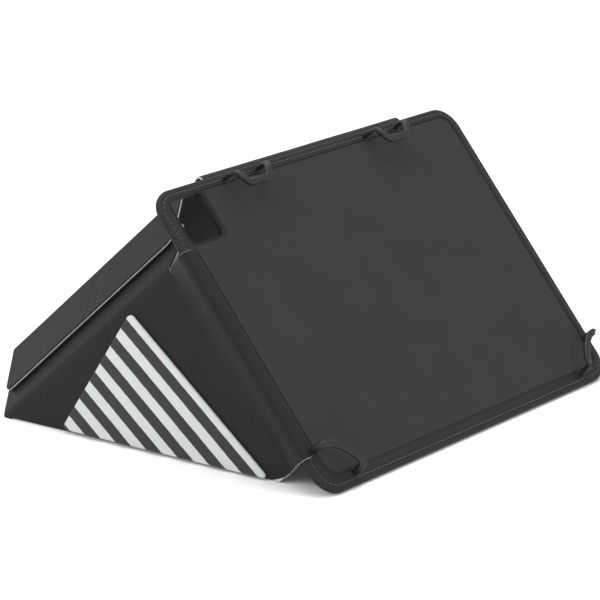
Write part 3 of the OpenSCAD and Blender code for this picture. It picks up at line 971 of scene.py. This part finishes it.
def make_panel():
    hole_w, hole_h = WINDOW_W + 2 * LINER_T, WINDOW_H + 2 * LINER_T
    window = outline_of(WINDOW_X - LINER_T, WINDOW_Y - LINER_T, hole_w, hole_h, WINDOW_R + LINER_T)
    skins = [
        ("panel_front_leather", "panel_front_skin", PANEL_T, "textured_leatherette", grain_black),
        ("panel_back_leather", "panel_back_skin", SKIN_T, "smooth_leatherette", calf_black),
    ]
    # The skins stop inside the hem that wraps the panel's edge
    short = 0.6
    skin_w, skin_h = PANEL_W - 2 * short, PANEL_H - 2 * short
    border = outline_of(short, short, skin_w, skin_h, PANEL_R - short)
    for name, node_name, top, slot, material in skins:
        piece = soft_sheet(
            name, border, top, top - SKIN_T, PANEL, "panel", slot, [material, material],
            holes=[window], uneven=0.05, spacing=12.0, edge=0.25,
        )
        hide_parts(node_name)
        declare(border, area=skin_w * skin_h - hole_w * hole_h)

    crown, groove = PANEL_T + HEM_T, PANEL_T + HEM_T - 0.14
    # The strip's outer face from the panel's back over the edge to the front, then its inner face
    outer_face = [
        (3.4, -0.28), (1.6, -0.24), (0.4, -0.12), (-0.25, 0.45), (-0.4, 1.3), (-0.35, 2.2), (0.05, 2.95),
        (0.8, crown - 0.1), (1.7, crown), (2.45, crown), (2.75, groove), (STITCH_INSET, groove - 0.06),
        (3.25, groove), (3.55, crown), (4.8, crown + 0.04), (6.0, crown - 0.02), (HEM_W - 0.12, crown - 0.14),
    ]
    inner_face = [
        (HEM_W, PANEL_T + 0.02), (0.7, PANEL_T + 0.02), (0.02, 2.6), (-0.04, 1.5), (0.0, 0.5),
        (0.5, 0.06), (3.4, 0.04),
    ]
    hem = swept_ring(
        "panel_hem_leather", outer_face + inner_face, hem_loop, "panel", [grain_black]
    )
    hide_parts("panel_border_hem")
    middle = panel_loop(STITCH_INSET)

    liner = swept_ring(
        "window_liner_ring",
        [
            (0.0, 0.25), (0.0, PANEL_T + 0.05), (0.12, PANEL_T + 0.22), (0.4, PANEL_T + 0.3),
            (0.7, PANEL_T + 0.22), (0.82, PANEL_T), (0.82, 0.0), (0.7, -0.14), (0.4, -0.2), (0.12, -0.12),
        ],
        window_loop, "panel", [calf_black],
    )
    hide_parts("camera_window_liner")

    # The window's margin reaches past the lining's own edge, so the lining is cut round it as an outline
    left, low = MARGIN_X + 1, MARGIN_Y + 1
    right, high = left + TABLET_W - 2, low + TABLET_H - 2
    beside, below = WINDOW_X + WINDOW_W + LINER_T + 1, WINDOW_Y - LINER_T - 1
    cut = rounded(
        [(left, low), (right, low), (right, high), (beside, high), (beside, below), (left, below)],
        [9, 9, 9, 2, 4, 2],
    )
    lining = soft_sheet(
        "tablet_rest_microfibre", cut, PANEL_T + 0.34, PANEL_T - 0.1, PANEL, "panel", "microfibre",
        [lining_grey, lining_grey], uneven=0.04, edge=0.15, spacing=9.0,
    )
    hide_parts("tablet_rest_lining")
    declare(cut)


def make_stitches():
    """One row of stitches round the hem, each a short twisted thread sunk at both ends."""
    bm = bmesh.new()
    loop = panel_loop(STITCH_INSET)
    lengths = [(b - a).length for a, b in zip(loop, loop[1:] + loop[:1])]
    count = round(sum(lengths) / 3.2)
    pitch = sum(lengths) / count
    places, at, k = [], 0.0, 0
    for a, b, length in zip(loop, loop[1:] + loop[:1], lengths):
        while k * pitch < at + length:
            places.append((a.lerp(b, (k * pitch - at) / length), (b - a).normalized()))
            k += 1
        at += length
    height = PANEL_T + HEM_T - 0.12
    sections = [(-1.25, -0.28, 0.14), (-1.05, -0.05, 0.26), (-0.4, 0.16, 0.32)]
    sections += [(0.4, 0.16, 0.32), (1.05, -0.05, 0.26), (1.25, -0.28, 0.14)]
    sides = 8
    for centre, along in places:
        across = Vector((-along.y, along.x))
        rings = []
        for reach, lift, radius in sections:
            ring = []
            for j in range(sides):
                a = 2 * math.pi * j / sides + reach * 0.9
                flat = centre + along * reach + across * radius * math.cos(a)
                ring.append(bm.verts.new((flat.x, flat.y, height + lift + radius * math.sin(a))))
            rings.append(ring)
        for low, high in zip(rings, rings[1:]):
            for j in range(sides):
                bm.faces.new((low[j], low[(j + 1) % sides], high[(j + 1) % sides], high[j]))
        bm.faces.new(rings[0][::-1])
        bm.faces.new(rings[-1])
    flat = [v.co.copy() for v in bm.verts]
    for v in bm.verts:
        v.co = PANEL @ v.co
    piece = finish_mesh("border_stitches", bm, "panel", [thread_black], 70, flat)
    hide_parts("panel_border_stitching")


# ---- Striped cloth inset on the side wall ----
PATCH = [Vector((36.0, 141.8)), Vector((115.4, 114.6)), Vector((12.2, 25.2))]
PATCH_RADII = [3, 2.4, 1.6]


def make_patch():
    outline = rounded([tuple(p) for p in PATCH], PATCH_RADII)
    bm = flat_sheet(outline, 0.05, -PATCH_T, edge=0.9)
    xs, ys = [p[0] for p in outline], [p[1] for p in outline]
    cut_grid(bm, 0, steps_between(min(xs), max(xs), 4.0))
    cut_grid(bm, 1, steps_between(min(ys), max(ys), 4.0))
    along = (PATCH[2] - PATCH[0]).normalized()
    across = Vector((-along.y, along.x))
    flat = []
    for v in bm.verts:
        gap = Vector((v.co.x, v.co.y)) - PATCH[0]
        flat.append((gap.dot(along), gap.dot(across), v.co.z))
        if v.co.z < -0.5 * PATCH_T:
            v.co.z += 0.12 * noise.noise(Vector((v.co.x, v.co.y, 0)) / 16)
        v.co = WALL @ v.co
    piece = finish_mesh("striped_cloth", bm, "side_wall", [stripes_woven], 50, flat)
    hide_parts("striped_panel_cloth", "stripe_bands")
    declare(outline)


# ---- Elastic corner hooks ----
FOOT_Z = 5.4
HOOK_Z = FRONT_Z + 2.0
TOP_FOOT_Y = TABLET_TOP + 1.7
TOP_BAR_Y = TABLET_TOP - 7.2
TOP_HOOK_X, TOP_HOOK_W = (56, 176), 27.8


def top_hook_line(x):
    mid = x + TOP_HOOK_W / 2
    half = [
        (13.9, TOP_FOOT_Y, PANEL_T + 0.2),
        (13.9, TOP_FOOT_Y, FOOT_Z),
        (13.5, TOP_FOOT_Y - 0.1, 8.6),
        (12.3, TOP_FOOT_Y - 1.1, HOOK_Z - 1.0),
        (10.2, TABLET_TOP - 3.4, HOOK_Z),
        (7.4, TOP_BAR_Y + 0.2, HOOK_Z),
        (0.0, TOP_BAR_Y, HOOK_Z),
    ]
    left = [Vector((mid - a, b, c)) for a, b, c in half]
    right = [Vector((mid + a, b, c)) for a, b, c in half[-2::-1]]
    return left + right


def corner_hook_line(mirrored):
    points = [
        (6.9, 24.5, PANEL_T + 0.2),
        (6.9, 24.5, FOOT_Z),
        (6.95, 24.4, 8.6),
        (8.0, 24.1, HOOK_Z - 0.7),
        (11.2, 23.6, HOOK_Z),
        (14.5, 22.6, HOOK_Z),
        (21.0, 17.6, HOOK_Z),
        (25.2, 12.4, HOOK_Z),
        (26.9, 8.6, HOOK_Z - 0.4),
        (27.45, 6.7, HOOK_Z - 2.0),
        (27.5, 6.3, FOOT_Z),
        (27.5, 6.3, PANEL_T + 0.2),
    ]
    width = 2 * MARGIN_X + TABLET_W
    return [Vector((width - x if mirrored else x, y, z)) for x, y, z in points]


def smooth_line(points, per_span=7):
    """A centripetal-like curve through the points."""
    out = []
    for i in range(len(points) - 1):
        before = points[i - 1] if i else points[i] * 2 - points[i + 1]
        after = points[i + 2] if i + 2 < len(points) else points[i + 1] * 2 - points[i]
        a, b = points[i], points[i + 1]
        for k in range(per_span):
            t = k / per_span
            start_pull, end_pull = (b - before) / 2, (after - a) / 2
            reach = (b - a).length
            start_pull *= min(1, reach / max(start_pull.length, 1e-6))
            end_pull *= min(1, reach / max(end_pull.length, 1e-6))
            h1, h2 = 2 * t**3 - 3 * t**2 + 1, t**3 - 2 * t**2 + t
            h3, h4 = -2 * t**3 + 3 * t**2, t**3 - t**2
            out.append(a * h1 + start_pull * h2 + b * h3 + end_pull * h4)
    return out + [points[-1]]


RIBBON_W, RIBBON_T, RIBBON_R = 4.0, 2.3, 0.8


def ribbon_section():
    """The hook's section: a flat bar with rounded edges."""
    half_w, half_t = RIBBON_W / 2 - RIBBON_R, RIBBON_T / 2 - RIBBON_R
    out = []
    for i, (x, y) in enumerate([(half_w, half_t), (-half_w, half_t), (-half_w, -half_t), (half_w, -half_t)]):
        for k in range(5):
            a = math.radians(90 * i + 90 * k / 4)
            out.append((x + RIBBON_R * math.cos(a), y + RIBBON_R * math.sin(a)))
    return out


def make_hook(node, line, outward):
    points = smooth_line(line)
    section = ribbon_section()
    bm = bmesh.new()
    rings, flat, travelled = [], [], 0.0
    for i, point in enumerate(points):
        ahead = (points[min(i + 1, len(points) - 1)] - points[max(i - 1, 0)]).normalized()
        travelled += (point - points[i - 1]).length if i else 0
        upright = min(1.0, abs(ahead.z) * 1.4)
        hint = outward * upright + Vector((0, 0, 1)) * (1 - upright)
        normal = (hint - ahead * hint.dot(ahead)).normalized()
        side = ahead.cross(normal)
        ring = []
        for x, y in section:
            place = point + side * x + normal * y
            ring.append(bm.verts.new(PANEL @ place))
            flat.append((travelled, x, y))
        rings.append(ring)
    count = len(section)
    for low, high in zip(rings, rings[1:]):
        for j in range(count):
            bm.faces.new((low[j], low[(j + 1) % count], high[(j + 1) % count], high[j]))
    bm.faces.new(rings[0][::-1])
    bm.faces.new(rings[-1])
    piece = finish_mesh(node + "_elastic", bm, None, [rubber_black], 50, flat)
    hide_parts(node)
    blend_between(piece)


make_wall()
make_tab()
make_foot()
make_cover()
make_roll()
make_panel()
make_stitches()
make_patch()
for node, x in zip(("hook_top_left", "hook_top_right"), TOP_HOOK_X):
    make_hook(node, top_hook_line(x), Vector((0, 1, 0)))
for node, mirrored in (("hook_bottom_left", False), ("hook_bottom_right", True)):
    outward = Vector((1 if mirrored else -1, -1, 0)).normalized()
    make_hook(node, corner_hook_line(mirrored), outward)
